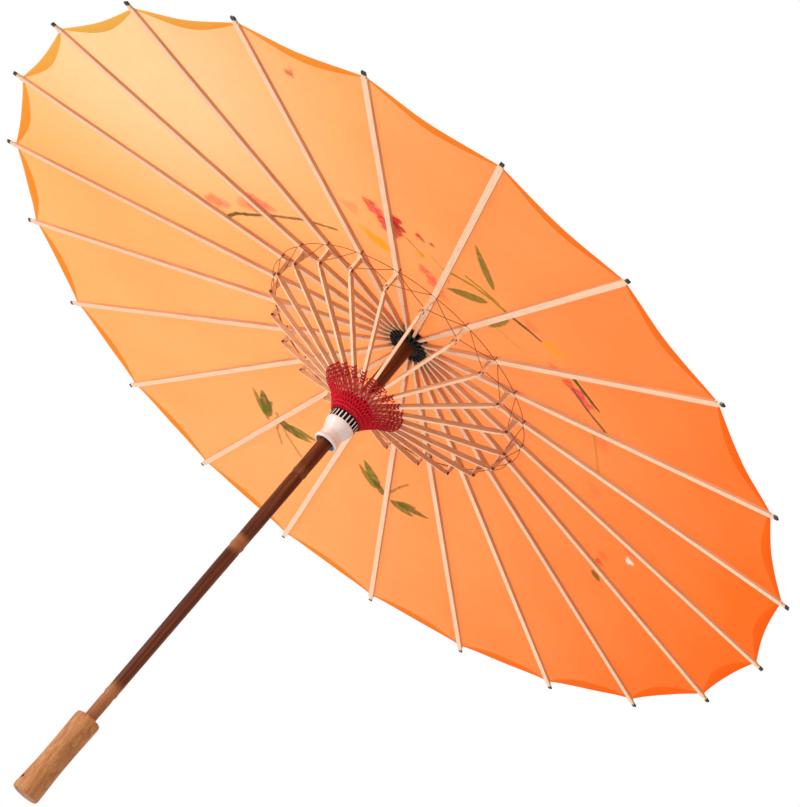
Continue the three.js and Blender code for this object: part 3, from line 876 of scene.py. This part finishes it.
def rib_cover_piece(number):
    """The narrow strip of cloth glued over a rib's back."""
    turn = TURNS[number]

    def place(out, across):
        radius = COVER_IN + (COVER_OUT - COVER_IN) * out
        off = COVER_HALF * (2 * across - 1)
        height = cloth_height(radius, off / radius, turn) + 0.35 * MM
        return around(radius, height, turn, off), (off, radius)

    return cloth_grid(f"rib_cover_{number}", even_shares(60), 6, place, "hem")


def make_cloth():
    """A panel, a hem and a strip for each rib, each riding on its rib."""
    for number, turn in TURNS.items():
        rib = f"rib_{number}"
        panel = panel_piece(number)
        hem = hem_piece(number)
        for piece in (panel, hem):
            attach(piece, rib)
            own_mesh(piece)
        cover = rib_cover_piece(number)
        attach(cover, rib)
        for piece in (panel, hem, cover):
            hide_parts("canopy")


# ---- threads ----
OUTER_R = 138 * MM  # where the outer lacing is tied
OUTER_Z = RIM_Z + (RIM_R - OUTER_R) * CLOTH_SLOPE  # the height of the cloth there
UNDER_RIB = 4.6 * MM  # from the cloth to the underside of a rib
LACING_R = 0.3 * MM  # half the thickness of the lacing's thread


def sagging(a, b, sag, out=0.0, steps=10):
    """Points of a thread from a to b that hangs by sag and bows outwards by out."""
    points = []
    for i in range(steps + 1):
        t = i / steps
        p = a.lerp(b, t)
        bow = 4 * t * (1 - t)
        p.z -= sag * bow
        flat = Vector((p.x, p.y, 0)).normalized()
        points.append(p + flat * out * bow)
    return points


def lacing_piece(number):
    """The lacing from a rib to the middle of both bays: crossed threads and a bowed one."""
    turn = TURNS[number]
    joint_z = JOINT_Z + 6 * MM
    outer_z = OUTER_Z - UNDER_RIB
    paths = []
    for side in (1, -1):
        here, there = turn, turn + side * PITCH
        knot = around(JOINT_R - 2 * MM, joint_z, here, side * 1.7 * MM)
        knot_next = around(JOINT_R - 2 * MM, joint_z, there, -side * 1.7 * MM)
        tie = around(OUTER_R, outer_z, here, side * 2 * MM)
        tie_next = around(OUTER_R, outer_z, there, -side * 2 * MM)
        for points in (
            sagging(knot, tie_next, 0.6 * MM),
            sagging(tie, knot_next, 0.6 * MM),
            sagging(tie, tie_next, 0.5 * MM, 2.5 * MM),
        ):
            half = points[: len(points) // 2 + 1]
            paths.append((half, LACING_R, False))
    return threads(f"lacing_{number}", paths, "dark_red")


def wrap(centre, axis, across, half_width, half_depth, radius, turns, step=0.62 * MM):
    """Turns of thread wound round a flat piece; axis runs along the piece."""
    paths = []
    up = axis.cross(across)
    for i in range(turns):
        middle = centre + axis * step * (i - (turns - 1) / 2)
        points = []
        for k in range(12):
            angle = math.tau * k / 12
            c, s = math.cos(angle), math.sin(angle)
            square = max(abs(c), abs(s)) ** 0.7
            points.append(middle + (across * c * half_width + up * s * half_depth) / square)
        paths.append((points, radius, True))
    return paths


def binding_piece(number):
    """Thread wound round the rib at the outer lacing, and the knotted joint pin in its lug."""
    turn = TURNS[number]
    across = tangent(turn)
    along = (around(RIM_R, RIM_Z, turn) - around(0, RIM_Z + RIM_R * CLOTH_SLOPE, turn)).normalized()
    half_width, half_depth = 3 * MM, 2 * MM
    centre = around(OUTER_R, OUTER_Z - 0.2 * MM - half_depth, turn)
    paths = wrap(centre, along, across, half_width, half_depth, LACING_R, 2)
    lug = around(JOINT_R, JOINT_Z, turn)
    half_pin, knot_half, knot_thread = 2.1 * MM, 1.1 * MM, 0.32 * MM
    paths.append(([lug - across * half_pin, lug + across * half_pin], 0.62 * MM, False))
    for side in (1, -1):
        end = lug + across * side * 1.95 * MM
        paths += wrap(end, across, radial(turn), knot_half, knot_half, knot_thread, 1)
    return threads(f"binding_{number}", paths, "dark_red")


# the radius of each row of knots in the red net and its depth under the stretchers, in mm
NET_ROWS = (
    (15.8, 19.5),
    (17.8, 17.4),
    (20.1, 15.1),
    (22.6, 12.7),
    (25.3, 10.3),
    (28.2, 8.0),
    (31.4, 5.9),
    (34.8, 4.2),
    (38.3, 3.0),
    (42.0, 2.5),
)
NET_LOOPS = 2  # loops between two stretchers
NET_TIED = 6  # the first row that is wound round the stretchers


def net_piece(number):
    """A bay's share of the red net: loops that widen outwards, and turns round the stretcher."""
    turn = TURNS[number]
    rise = (JOINT_Z - RUNNER_Z) / (JOINT_R - PIVOT_R)
    start = around(PIVOT_R, RUNNER_Z, turn)
    along = (around(JOINT_R, JOINT_Z, turn) - start).normalized()
    paths = []

    def knot(row, place):
        radius, depth = NET_ROWS[row]
        at = turn + (place / NET_LOOPS - 0.5) * PITCH
        height = RUNNER_Z + (radius * MM - PIVOT_R) * rise - depth * MM
        return around(radius * MM, height + 0.4 * MM * math.sin(11 * at + 5 * row), at)

    for row in range(len(NET_ROWS) - 1):
        radius = (0.78 - 0.05 * row) * MM
        for i in range(NET_LOOPS):
            place = i + 0.5 * (row % 2)
            here = knot(row, place)
            for lean in (-0.5, 0.5):
                there = knot(row + 1, place + lean)
                middle = (here + there) / 2
                bow = tangent(turn) * lean * 0.12 * MM * row - Vector((0, 0, 0.1 * MM * row))
                paths.append(([here, middle + bow, there], radius, False))
    for reach, _ in NET_ROWS[NET_TIED:]:
        centre = start + along * (reach * MM - PIVOT_R)
        paths += wrap(centre, along, tangent(turn), 1.6 * MM, 2.5 * MM, 0.42 * MM, 2, 0.9 * MM)
    return threads(f"red_net_{number}", paths, "red")


NECK_R = 14.2 * MM  # the runner widens from its neck
NECK_TOP = RUNNER_Z - 18 * MM
CROWN_FOOT = RUNNER_Z - 5 * MM  # to the foot of its crown
COLLAR = (RUNNER_Z - 20.5 * MM, RUNNER_Z - 4 * MM)  # the heights that the red binding covers
COLLAR_STEP = 1.05 * MM
WINDING_R = 0.56 * MM  # half the thickness of the thread wound round
CROSSING_R = 0.44 * MM  # and of the threads that cross it


def crown_radius(height):
    """The runner's outside radius in the stretch that the binding covers."""
    share = (height - NECK_TOP) / (CROWN_FOOT - NECK_TOP)
    return NECK_R + 3 * MM * max(0.0, min(1.0, share))


def make_collar():
    """Crimson thread bound round the crown under the stretchers, crossed by leaning threads."""
    paths = []
    low, high = COLLAR
    for i in range(int((high - low) / COLLAR_STEP) + 1):
        z = low + i * COLLAR_STEP
        radius = crown_radius(z) + 0.45 * MM
        points = []
        for k in range(RIBS * 4):
            turn = FIRST_TURN + k * PITCH / 4
            swing = 0.3 * MM * math.sin(turn * RIBS + i * 0.9)
            points.append(around(radius, z + swing, turn))
        paths.append((points, WINDING_R, True))
    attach(threads("collar_windings", paths, "crimson"), "runner")
    paths = []
    for k in range(RIBS * 3):
        start = FIRST_TURN + k * PITCH / 3
        for lean in (-0.9, 0.9):
            points = []
            for i in range(7):
                share = i / 6
                z = low + (high - low) * share
                stray = 0.12 * PITCH * math.sin(3.1 * k + 5 * share)
                turn = start + lean * PITCH * share + stray
                points.append(around(crown_radius(z) + 1.1 * MM, z, turn))
            paths.append((points, CROSSING_R, False))
    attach(threads("collar_crossings", paths, "red"), "runner")


def make_threads():
    """Lacing and bindings ride on the ribs; the net and the collar ride on the runner."""
    for number, turn in TURNS.items():
        rib = f"rib_{number}"
        lacing = lacing_piece(number)
        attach(lacing, rib)
        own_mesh(lacing)
        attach(binding_piece(number), rib)
        net = net_piece(number)
        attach(net, "runner")
        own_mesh(net)
    make_collar()


# ---- CAD nodes that are shown ----
def dress(node, material):
    """Puts a material on a CAD node."""
    piece = frame["nodes"][node]
    if not piece.material_slots:
        piece.data.materials.append(None)
    for entry in piece.material_slots:
        entry.link = "OBJECT"
        entry.material = MATERIALS[material]
    return piece


def dress_slats():
    """Bamboo for the CAD ribs and stretchers, with softened edges."""
    for number, turn in TURNS.items():
        for kind in ("rib", "stretcher"):
            slat = dress(f"{kind}_{number}", "bamboo")
            slat["turn"] = turn
            soften(slat, 0.35 * MM)


def dress_small_parts():
    """Pegs in the wood of what they hold, and wire for the rings and the spring leaf."""
    for node, material in (("handle_peg", "handle"), ("stop_peg", "bamboo"), ("hub_peg", "black")):
        soften(dress(node, material), 0.25 * MM)
    for node in ("hub_tie_ring", "runner_tie_ring", "spring_leaf", "spring_leaf_pin"):
        dress(node, "wire")
    soften(frame["nodes"]["spring_leaf_pin"], 0.25 * MM)


# ---- turned pieces ----
def stands_for(piece, node, body):
    """Shows a piece in place of a CAD node."""
    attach(piece, body)
    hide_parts(node)


SHAFT_FOOT_R = 5 * MM
SHAFT_TOP_R = 6.8 * MM
SHAFT_TIP_R = 4.6 * MM  # the turned-down end that cap and knob sit on
TIP_BORE = 4.9 * MM  # the bore of cap and knob
TAPER = (-18 * MM, RUNNER_Z)  # the heights between which the shaft widens


def shaft_radius(height):
    """The shaft's radius between its knots."""
    low, high = TAPER
    share = max(0.0, min(1.0, (height - low) / (high - low)))
    return SHAFT_FOOT_R + (SHAFT_TOP_R - SHAFT_FOOT_R) * share


def make_shaft():
    """Bamboo: each knot is a ridge with a groove under it, and the culm widens towards the top."""
    low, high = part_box("shaft")
    profile = [(0, low.z), (shaft_radius(low.z) - 0.5 * MM, low.z)]
    steps = 260
    foot, shoulder = low.z + 0.8 * MM, high.z - 12 * MM
    for i in range(steps + 1):
        z = foot + (shoulder - foot) * i / steps
        radius = shaft_radius(z)
        for knot in KNOTS:
            away = (z - knot) / MM
            radius += 0.5 * MM * math.exp(-((away / 1.6) ** 2))
            radius -= 0.35 * MM * math.exp(-(((away + 3.2) / 1.5) ** 2))
        radius += 0.08 * MM * noise.noise(Vector((0, 0, z * 60)))
        profile.append((radius, z))
    tip = high.z
    profile += [(SHAFT_TIP_R, tip - 11 * MM), (SHAFT_TIP_R, tip - 1 * MM), (4 * MM, tip), (0, tip)]
    shaft = lathe("shaft_culm", profile, "shaft", 64)
    leaf_low, leaf_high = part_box("spring_leaf")
    middle = (leaf_low.z + leaf_high.z) / 2
    slot = box_at((0, 3.6 * MM, middle), (3.6 * MM, 9 * MM, leaf_high.z - leaf_low.z + 6 * MM))
    cut(shaft, slot, inside="shaft")
    stands_for(edge_normals(shaft), "shaft", "frame")


CORD_HOLE_TURN = math.radians(205)
CORD_HOLE_Z = -29 * MM
CORD_HOLE_R = 1.7 * MM


def make_handle():
    """The turned sleeve, waisted and a little wider at its foot, with a hole for a cord."""
    low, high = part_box("handle")
    top_r, waist_r, foot_r = 11.5 * MM, 10.9 * MM, 12.2 * MM
    mouth = shaft_radius(high.z) + 0.3 * MM
    outline = [(0, low.z), (foot_r - 2.4 * MM, low.z), (foot_r - 0.6 * MM, low.z + 0.7 * MM)]
    for share in (0.04, 0.15, 0.3, 0.45, 0.6, 0.75, 0.88, 0.96):
        wide = foot_r + (top_r - foot_r) * share
        radius = wide - (wide - waist_r) * math.sin(math.pi * share) ** 1.5
        outline.append((radius, low.z + (high.z - low.z) * share))
    top, floor = high.z, high.z - 12 * MM
    outline += [(top_r - 0.5 * MM, top - 0.7 * MM), (top_r - 2 * MM, top)]
    outline += [(mouth, top), (mouth, floor), (0, floor)]
    handle = lathe("handle_sleeve", rounded(outline, 1.2 * MM, 4), "handle", 96)
    reach = radial(CORD_HOLE_TURN) * 20 * MM
    hole = Vector((0, 0, CORD_HOLE_Z))
    cut(handle, rod_between(hole - reach, hole + reach, CORD_HOLE_R), inside="handle")
    stands_for(edge_normals(handle, 40), "handle", "frame")


SLOT_WIDTH = 2.8 * MM
SLOT_OUT = 24 * MM  # past the outside of hub and runner


def slot_boxes(inner, low, high):
    """A cutter for each slot that takes the end of a rib or a stretcher."""
    middle = ((inner + SLOT_OUT) / 2, 0, (low + high) / 2)
    size = (SLOT_OUT - inner, SLOT_WIDTH, high - low)
    return [box_at(middle, size, turn) for turn in TURNS.values()]


def make_hub():
    """The black hub: a collar that widens into a toothed ring."""
    low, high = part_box("hub")
    z = HUB_Z
    outer = high.x
    outline = [
        (7.1 * MM, low.z),
        (8.4 * MM, low.z),
        (9 * MM, low.z + 1.6 * MM),
        (11.4 * MM, z - 6.4 * MM),
        (outer - 1.6 * MM, z - 6.8 * MM),
        (outer, z - 5.2 * MM),
        (outer, z + 4.5 * MM),
        (outer - 2 * MM, z + 6.5 * MM),
        (12 * MM, z + 8 * MM),
        (11 * MM, high.z),
        (7.1 * MM, high.z),
        (7.1 * MM, low.z),
    ]
    hub = lathe("hub_star", outline, "black", 132)
    cut(hub, *slot_boxes(11.6 * MM, z - 9 * MM, z + 3.4 * MM), inside="black")
    stands_for(edge_normals(hub), "hub", "frame")


def make_runner():
    """The white runner: a ring and a waist under a slotted neck and crown; black lines its slots as
    painted shade.
    """
    low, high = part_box("runner")
    z = RUNNER_Z
    foot = low.z
    crown = high.x
    bore, ring_bore, ring, core = 7.8 * MM, 9.6 * MM, 11.6 * MM, 11.4 * MM
    outline = [
        (ring_bore, foot),
        (ring - 0.6 * MM, foot),
        (ring, foot + 0.7 * MM),
        (ring, foot + 2.6 * MM),
        (ring - 1 * MM, foot + 4 * MM),
        (10 * MM, foot + 7 * MM),
        (10.2 * MM, foot + 11 * MM),
        (12.4 * MM, foot + 16 * MM),
        (14 * MM, z - 30 * MM),
        (NECK_R, NECK_TOP),
        (crown, CROWN_FOOT),
        (crown, z + 2.6 * MM),
        (crown - 0.8 * MM, z + 3.4 * MM),
        (core, z + 3.4 * MM),
        (core - 0.6 * MM, z + 4.6 * MM),
        (bore, z + 4.6 * MM),
        (bore, foot + 9 * MM),
        (ring_bore, foot + 4 * MM),
        (ring_bore, foot),
    ]
    runner = lathe("runner_crown", rounded(outline, 1.1 * MM, 4), "white", 132)
    # the slots' walls take the black wood: painted shade in the slots
    cut(runner, *slot_boxes(core + 0.4 * MM, z - 28.5 * MM, z + 9 * MM), inside="black")
    stands_for(edge_normals(runner), "runner", "runner")


def make_cap():
    """The hollow black cap over the hub, in two steps."""
    low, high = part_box("cap")
    edge = high.x
    z = HUB_Z
    outline = [
        (edge - 2 * MM, low.z),
        (edge, low.z),
        (edge, low.z + 1.6 * MM),
        (21.5 * MM, z + 9 * MM),
        (15 * MM, z + 14 * MM),
        (12.6 * MM, z + 19 * MM),
        (9.5 * MM, high.z - 0.6 * MM),
        (7.2 * MM, high.z),
        (TIP_BORE, high.z),
        (TIP_BORE, z + 17.2 * MM),
        (11.4 * MM, z + 16.6 * MM),
        (13 * MM, z + 9.6 * MM),
        (19.4 * MM, z + 7 * MM),
        (edge - 2 * MM, low.z),
    ]
    cap = lathe("cap_dome", rounded(outline, 1.2 * MM, 4), "black", 96)
    stands_for(edge_normals(cap, 45), "cap", "frame")


def make_knob():
    """The turned knob, bored to sit on the shaft's tip."""
    low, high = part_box("knob")
    outline = [
        (TIP_BORE, low.z + 5 * MM),
        (TIP_BORE, low.z),
        (6.6 * MM, low.z),
        (7.4 * MM, low.z + 2.6 * MM),
        (6.8 * MM, low.z + 7.2 * MM),
        (4 * MM, high.z - 0.6 * MM),
        (0, high.z),
    ]
    knob = lathe("knob_turned", [(0, low.z + 5 * MM)] + rounded(outline, 1.6 * MM, 5), "handle", 64)
    stands_for(edge_normals(knob, 50), "knob", "frame")


# ---- camera, light and floor ----
def aim(thing, target, roll=0.0):
    """Points a camera or light at a target, then rolls it about its view line."""
    towards = (Vector(target) - thing.location).to_track_quat("-Z", "Y").to_matrix().to_4x4()
    spin = Matrix.Rotation(roll, 4, "Z")
    thing.matrix_world = Matrix.Translation(thing.location) @ towards @ spin


CAMERA_PLACE = (0, -1.4716, -0.2849)
CAMERA_TARGET = (0.0276, -0.0154, 0.4243)
CAMERA_ROLL = math.radians(40.08)


def make_camera():
    """A long lens from below the rim, rolled so that the shaft leans."""
    data = bpy.data.cameras.new("camera")
    data.sensor_width = 36
    data.lens = 81.69
    data.clip_start = 0.01
    data.clip_end = 50
    camera = bpy.data.objects.new("camera", data)
    bpy.context.scene.collection.objects.link(camera)
    camera.location = CAMERA_PLACE
    aim(camera, CAMERA_TARGET, CAMERA_ROLL)
    bpy.context.scene.camera = camera


def area_light(name, location, target, size, power):
    """A soft white lamp."""
    data = bpy.data.lights.new(name, "AREA")
    data.shape = "DISK"
    data.size = size
    data.energy = power
    light = bpy.data.objects.new(name, data)
    bpy.context.scene.collection.objects.link(light)
    light.location = location
    aim(light, target)


ROOM_LIGHT = 0.78  # the room's strength as a light; the camera sees it at full white
BACK_POWER = 32  # watts
SIDE_POWER = 64
FLOOR_HALF = 12.0
FLOOR_Z = -1.3  # the umbrella is held up in the air


def make_studio():
    """A white room, two soft lamps and a floor far below."""
    world = bpy.data.worlds.new("studio")
    bpy.context.scene.world = world
    world.use_nodes = True
    nodes, links = world.node_tree.nodes, world.node_tree.links
    back = nodes["Background"]
    back.inputs["Color"].default_value = (1, 1, 1, 1)
    seen = nodes.new("ShaderNodeLightPath")
    level = nodes.new("ShaderNodeMapRange")
    level.inputs["To Min"].default_value = ROOM_LIGHT
    level.inputs["To Max"].default_value = 1.0
    links.new(seen.outputs["Is Camera Ray"], level.inputs["Value"])
    links.new(level.outputs["Result"], back.inputs["Strength"])
    bpy.context.scene.view_settings.view_transform = "Standard"
    signs = ((-1, -1), (1, -1), (1, 1), (-1, 1))
    corners = [(x * FLOOR_HALF, y * FLOOR_HALF, FLOOR_Z) for x, y in signs]
    floor = new_piece("floor", corners, [(0, 1, 2, 3)], "floor")
    area_light("lamp_behind", (-1.5, 0.2, 1.7), (-0.1, 0, 0.45), 1.0, BACK_POWER)
    area_light("lamp_side", (-3.3, -1.35, -0.1), (0, 0, 0.4), 1.1, SIDE_POWER)


make_camera()
make_studio()
dress_slats()
dress_small_parts()
make_shaft()
make_handle()
make_hub()
make_runner()
make_cap()
make_knob()
make_cloth()
make_threads()
